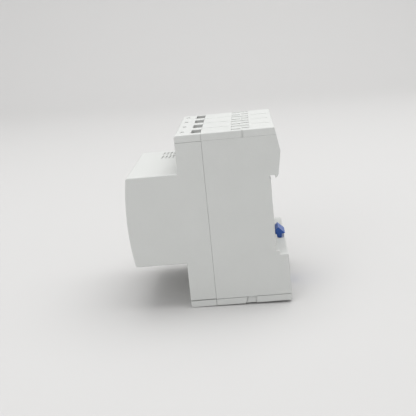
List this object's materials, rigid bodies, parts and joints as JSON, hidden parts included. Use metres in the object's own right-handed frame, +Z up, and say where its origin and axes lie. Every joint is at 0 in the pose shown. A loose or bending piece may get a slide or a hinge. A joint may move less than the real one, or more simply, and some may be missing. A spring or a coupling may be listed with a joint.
{
  "type": "din rail contactor",
  "caption": "Modular DIN rail contactor with screw terminals above and below, a blue rail latch, and its magnet and contacts inside.",
  "frame": {"origin": "on the rail seat's face, at mid-width and on the rail's centreline", "axes": "+Z up on the wall, towards the supply terminals; -Y out of the front nose; +Y into the rail; +X to the right seen from the front"},
  "size_m": [0.072, 0.0774, 0.0878],
  "materials": {
    "housing_grey": "fine spark-eroded",
    "latch_blue": "satin",
    "deck_black": "matt",
    "carrier_brown": "matt thermoset",
    "label_print": "satin film",
    "window_clear": "clear",
    "flag_red": "satin",
    "zinc_steel": "zinc plated",
    "copper": "bright copper, silver tips",
    "winding_wire": "enamelled wire",
    "core_steel": "stacked sheet",
    "spring_steel": "bright wire",
    "pad_rubber": "matt"
  },
  "bodies": {
    "housing": {"base_housing": "housing_grey", "front_cover": "housing_grey", "top_entry_strip": "housing_grey", "top_middle_strip": "housing_grey", "top_rear_strip": "housing_grey", "bottom_entry_strip": "housing_grey", "bottom_middle_strip": "housing_grey", "bottom_rear_strip": "housing_grey", "contact_deck": "deck_black", "label_plate": "label_print", "indicator_window": "window_clear", "housing_screws": "zinc_steel", "line_clamp_boxes": "zinc_steel", "load_clamp_boxes": "zinc_steel", "line_contacts": "copper", "load_contacts": "copper", "coil_clamp_boxes": "zinc_steel", "coil_leads": "copper", "fixed_core": "core_steel", "shading_rings": "copper", "core_pad": "pad_rubber", "coil_bobbin": "deck_black", "coil_winding": "winding_wire", "return_springs": "spring_steel", "latch_spring": "spring_steel"},
    "carrier": {"contact_carrier": "carrier_brown", "armature": "core_steel", "armature_pin": "core_steel", "indicator_flag": "flag_red", "contact_spring_1": "spring_steel", "contact_spring_2": "spring_steel", "contact_spring_3": "spring_steel", "contact_spring_4": "spring_steel"},
    "latch": {"rail_latch": "latch_blue"},
    "bridge_1": {"contact_bridge_1": "copper"},
    "bridge_2": {"contact_bridge_2": "copper"},
    "bridge_3": {"contact_bridge_3": "copper"},
    "bridge_4": {"contact_bridge_4": "copper"},
    "line_saddle_1": {"line_saddle_1": "zinc_steel"},
    "line_screw_1": {"line_screw_1": "zinc_steel"},
    "line_saddle_2": {"line_saddle_2": "zinc_steel"},
    "line_screw_2": {"line_screw_2": "zinc_steel"},
    "line_saddle_3": {"line_saddle_3": "zinc_steel"},
    "line_screw_3": {"line_screw_3": "zinc_steel"},
    "line_saddle_4": {"line_saddle_4": "zinc_steel"},
    "line_screw_4": {"line_screw_4": "zinc_steel"},
    "load_saddle_1": {"load_saddle_1": "zinc_steel"},
    "load_screw_1": {"load_screw_1": "zinc_steel"},
    "load_saddle_2": {"load_saddle_2": "zinc_steel"},
    "load_screw_2": {"load_screw_2": "zinc_steel"},
    "load_saddle_3": {"load_saddle_3": "zinc_steel"},
    "load_screw_3": {"load_screw_3": "zinc_steel"},
    "load_saddle_4": {"load_saddle_4": "zinc_steel"},
    "load_screw_4": {"load_screw_4": "zinc_steel"},
    "coil_saddle_a1": {"coil_saddle_a1": "zinc_steel"},
    "coil_screw_a1": {"coil_screw_a1": "zinc_steel"},
    "coil_saddle_a2": {"coil_saddle_a2": "zinc_steel"},
    "coil_screw_a2": {"coil_screw_a2": "zinc_steel"}
  },
  "joints": [
    {"name": "carrier_slide", "type": "slide", "parent": "housing", "child": "carrier", "axis": [0, 1, 0], "range_m": [0, 0.00448], "stiffness_N_per_m": 600, "springref_m": -0.005, "deforming": ["return_springs"]},
    {"name": "bridge_1_overtravel", "type": "slide", "parent": "carrier", "child": "bridge_1", "axis": [0, 1, 0], "range_m": [-0.0015, 0], "deforming": ["contact_spring_1"]},
    {"name": "bridge_2_overtravel", "type": "slide", "parent": "carrier", "child": "bridge_2", "axis": [0, 1, 0], "range_m": [-0.0015, 0], "deforming": ["contact_spring_2"]},
    {"name": "bridge_3_overtravel", "type": "slide", "parent": "carrier", "child": "bridge_3", "axis": [0, 1, 0], "range_m": [-0.0015, 0], "deforming": ["contact_spring_3"]},
    {"name": "bridge_4_overtravel", "type": "slide", "parent": "carrier", "child": "bridge_4", "axis": [0, 1, 0], "range_m": [-0.0015, 0], "deforming": ["contact_spring_4"]},
    {"name": "latch_slide", "type": "slide", "parent": "housing", "child": "latch", "axis": [0, 0, -1], "range_m": [0, 0.004], "stiffness_N_per_m": 300, "springref_m": -0.003, "deforming": ["latch_spring"]},
    {"name": "line_saddle_1_slide", "type": "slide", "parent": "housing", "child": "line_saddle_1", "axis": [0, 1, 0], "range_m": [0, 0.0037]},
    {"name": "line_screw_1_turn", "type": "hinge", "parent": "line_saddle_1", "child": "line_screw_1", "pos_m": [-0.027, -0.04065, 0.0308], "axis": [0, 1, 0], "range_deg": [0, 1332]},
    {"name": "line_saddle_2_slide", "type": "slide", "parent": "housing", "child": "line_saddle_2", "axis": [0, 1, 0], "range_m": [0, 0.0037]},
    {"name": "line_screw_2_turn", "type": "hinge", "parent": "line_saddle_2", "child": "line_screw_2", "pos_m": [-0.009, -0.04065, 0.0308], "axis": [0, 1, 0], "range_deg": [0, 1332]},
    {"name": "line_saddle_3_slide", "type": "slide", "parent": "housing", "child": "line_saddle_3", "axis": [0, 1, 0], "range_m": [0, 0.0037]},
    {"name": "line_screw_3_turn", "type": "hinge", "parent": "line_saddle_3", "child": "line_screw_3", "pos_m": [0.009, -0.04065, 0.0308], "axis": [0, 1, 0], "range_deg": [0, 1332]},
    {"name": "line_saddle_4_slide", "type": "slide", "parent": "housing", "child": "line_saddle_4", "axis": [0, 1, 0], "range_m": [0, 0.0037]},
    {"name": "line_screw_4_turn", "type": "hinge", "parent": "line_saddle_4", "child": "line_screw_4", "pos_m": [0.027, -0.04065, 0.0308], "axis": [0, 1, 0], "range_deg": [0, 1332]},
    {"name": "load_saddle_1_slide", "type": "slide", "parent": "housing", "child": "load_saddle_1", "axis": [0, 1, 0], "range_m": [0, 0.0037]},
    {"name": "load_screw_1_turn", "type": "hinge", "parent": "load_saddle_1", "child": "load_screw_1", "pos_m": [-0.027, -0.04065, -0.0354], "axis": [0, 1, 0], "range_deg": [0, 1332]},
    {"name": "load_saddle_2_slide", "type": "slide", "parent": "housing", "child": "load_saddle_2", "axis": [0, 1, 0], "range_m": [0, 0.0037]},
    {"name": "load_screw_2_turn", "type": "hinge", "parent": "load_saddle_2", "child": "load_screw_2", "pos_m": [-0.009, -0.04065, -0.0354], "axis": [0, 1, 0], "range_deg": [0, 1332]},
    {"name": "load_saddle_3_slide", "type": "slide", "parent": "housing", "child": "load_saddle_3", "axis": [0, 1, 0], "range_m": [0, 0.0037]},
    {"name": "load_screw_3_turn", "type": "hinge", "parent": "load_saddle_3", "child": "load_screw_3", "pos_m": [0.009, -0.04065, -0.0354], "axis": [0, 1, 0], "range_deg": [0, 1332]},
    {"name": "load_saddle_4_slide", "type": "slide", "parent": "housing", "child": "load_saddle_4", "axis": [0, 1, 0], "range_m": [0, 0.0037]},
    {"name": "load_screw_4_turn", "type": "hinge", "parent": "load_saddle_4", "child": "load_screw_4", "pos_m": [0.027, -0.04065, -0.0354], "axis": [0, 1, 0], "range_deg": [0, 1332]},
    {"name": "coil_saddle_a1_slide", "type": "slide", "parent": "housing", "child": "coil_saddle_a1", "axis": [0, 1, 0], "range_m": [0, 0.003]},
    {"name": "coil_screw_a1_turn", "type": "hinge", "parent": "coil_saddle_a1", "child": "coil_screw_a1", "pos_m": [-0.027, -0.0667, -0.016], "axis": [0, 1, 0], "range_deg": [0, 1800]},
    {"name": "coil_saddle_a2_slide", "type": "slide", "parent": "housing", "child": "coil_saddle_a2", "axis": [0, 1, 0], "range_m": [0, 0.003]},
    {"name": "coil_screw_a2_turn", "type": "hinge", "parent": "coil_saddle_a2", "child": "coil_screw_a2", "pos_m": [-0.009, -0.0667, -0.016], "axis": [0, 1, 0], "range_deg": [0, 1800]}
  ],
  "couplings": [
    {"joint": "bridge_1_overtravel", "follows": "carrier_slide", "ratio": -0.33333},
    {"joint": "bridge_2_overtravel", "follows": "carrier_slide", "ratio": -0.33333},
    {"joint": "bridge_3_overtravel", "follows": "carrier_slide", "ratio": -0.33333},
    {"joint": "bridge_4_overtravel", "follows": "carrier_slide", "ratio": -0.33333},
    {"joint": "line_screw_1_turn", "follows": "line_saddle_1_slide", "rad_per_m": 6283},
    {"joint": "line_screw_2_turn", "follows": "line_saddle_2_slide", "rad_per_m": 6283},
    {"joint": "line_screw_3_turn", "follows": "line_saddle_3_slide", "rad_per_m": 6283},
    {"joint": "line_screw_4_turn", "follows": "line_saddle_4_slide", "rad_per_m": 6283},
    {"joint": "load_screw_1_turn", "follows": "load_saddle_1_slide", "rad_per_m": 6283},
    {"joint": "load_screw_2_turn", "follows": "load_saddle_2_slide", "rad_per_m": 6283},
    {"joint": "load_screw_3_turn", "follows": "load_saddle_3_slide", "rad_per_m": 6283},
    {"joint": "load_screw_4_turn", "follows": "load_saddle_4_slide", "rad_per_m": 6283},
    {"joint": "coil_screw_a1_turn", "follows": "coil_saddle_a1_slide", "rad_per_m": 10471},
    {"joint": "coil_screw_a2_turn", "follows": "coil_saddle_a2_slide", "rad_per_m": 10471}
  ]
}
